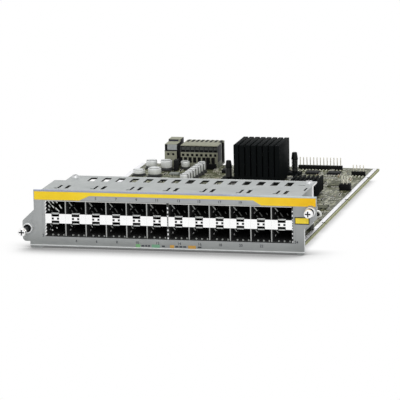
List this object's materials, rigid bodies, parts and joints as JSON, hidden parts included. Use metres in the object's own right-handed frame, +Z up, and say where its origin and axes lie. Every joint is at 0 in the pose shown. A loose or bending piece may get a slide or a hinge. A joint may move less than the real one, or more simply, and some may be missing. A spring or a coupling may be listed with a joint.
{
  "type": "switch line card",
  "caption": "Slide-in switch line card with a steel face plate, stacked optics port cages, a long circuit board and captive screws.",
  "frame": {"origin": "middle of the card's footprint, at the level of the face plate's feet", "axes": "+X to the right seen from the front, +Y from the face plate to the backplane connectors, +Z up"},
  "size_m": [0.205, 0.2958, 0.0422],
  "materials": {
    "plate_paint": "satin",
    "band_yellow": "printed film",
    "cage_steel": "plated",
    "divider_bright": "bright plated",
    "pipe_clear": "clear",
    "receptacle_black": "moulded",
    "board_green": "solder resist",
    "strip_plating": "plated",
    "post_steel": "plated",
    "screw_zinc": "plated",
    "ferrule_nickel": "plated",
    "clip_steel": "plain",
    "connector_grey": "moulded",
    "sink_black": "black anodised",
    "chip_black": "moulded",
    "pin_black": "moulded",
    "spring_steel": "plain",
    "header_black": "moulded",
    "pin_gold": "gold plated",
    "can_aluminium": "bright",
    "can_base_black": "moulded",
    "crystal_steel": "plated",
    "choke_grey": "ferrite",
    "tantalum_tan": "moulded",
    "coil_grey": "ferrite"
  },
  "bodies": {
    "card": {"bead_block": "chip_black", "blank_patch": "band_yellow", "bulk_caps": "tantalum_tan", "cage_back_left": "cage_steel", "cage_back_right": "cage_steel", "cage_cover_left": "cage_steel", "cage_cover_right": "cage_steel", "cage_floor_left": "cage_steel", "cage_floor_right": "cage_steel", "capacitor_row": "can_aluminium", "capacitor_row_bases": "can_base_black", "choke_blocks": "choke_grey", "circuit_board": "board_green", "colour_band": "band_yellow", "converter_chips": "chip_black", "face_plate": "plate_paint", "flange_posts": "post_steel", "flange_screws": "screw_zinc", "flash_chips": "chip_black", "gasket_fingers": "cage_steel", "ground_strip_left": "strip_plating", "ground_strip_right": "strip_plating", "heat_sink_pins": "pin_black", "heat_sink_springs": "spring_steel", "large_capacitor_bases": "can_base_black", "large_capacitors": "can_aluminium", "light_pipes_left": "pipe_clear", "light_pipes_right": "pipe_clear", "line_chips": "chip_black", "line_crystals": "crystal_steel", "long_header": "header_black", "long_header_pins": "pin_gold", "main_chip": "chip_black", "main_heat_sink": "sink_black", "memory_chips": "chip_black", "port_connectors_left": "receptacle_black", "port_connectors_right": "receptacle_black", "port_walls_left": "cage_steel", "port_walls_right": "cage_steel", "post_screws": "screw_zinc", "power_connector": "connector_grey", "ring_coil": "coil_grey", "row_dividers_left": "divider_bright", "row_dividers_right": "divider_bright", "screw_ferrule_left": "ferrule_nickel", "screw_ferrule_right": "ferrule_nickel", "short_header": "header_black", "short_header_pins": "pin_gold", "side_chip": "chip_black", "side_heat_sink": "sink_black", "side_plug": "header_black", "side_plug_pins": "pin_gold", "signal_connector": "connector_grey", "small_chips": "chip_black"},
    "clip_left": {"retaining_clip_left": "clip_steel"},
    "screw_left": {"captive_screw_left": "screw_zinc"},
    "clip_right": {"retaining_clip_right": "clip_steel"},
    "screw_right": {"captive_screw_right": "screw_zinc"}
  },
  "joints": [
    {"name": "screw_left_slide", "type": "slide", "parent": "card", "child": "clip_left", "axis": [0, 1, 0], "range_m": [0, 0.009]},
    {"name": "screw_left_spin", "type": "hinge", "parent": "clip_left", "child": "screw_left", "pos_m": [-0.0981, -0.12935, 0.014], "axis": [0, 1, 0], "continuous": true},
    {"name": "screw_right_slide", "type": "slide", "parent": "card", "child": "clip_right", "axis": [0, 1, 0], "range_m": [-0.008, 0.001]},
    {"name": "screw_right_spin", "type": "hinge", "parent": "clip_right", "child": "screw_right", "pos_m": [0.0986, -0.12935, 0.0303], "axis": [0, 1, 0], "continuous": true}
  ]
}
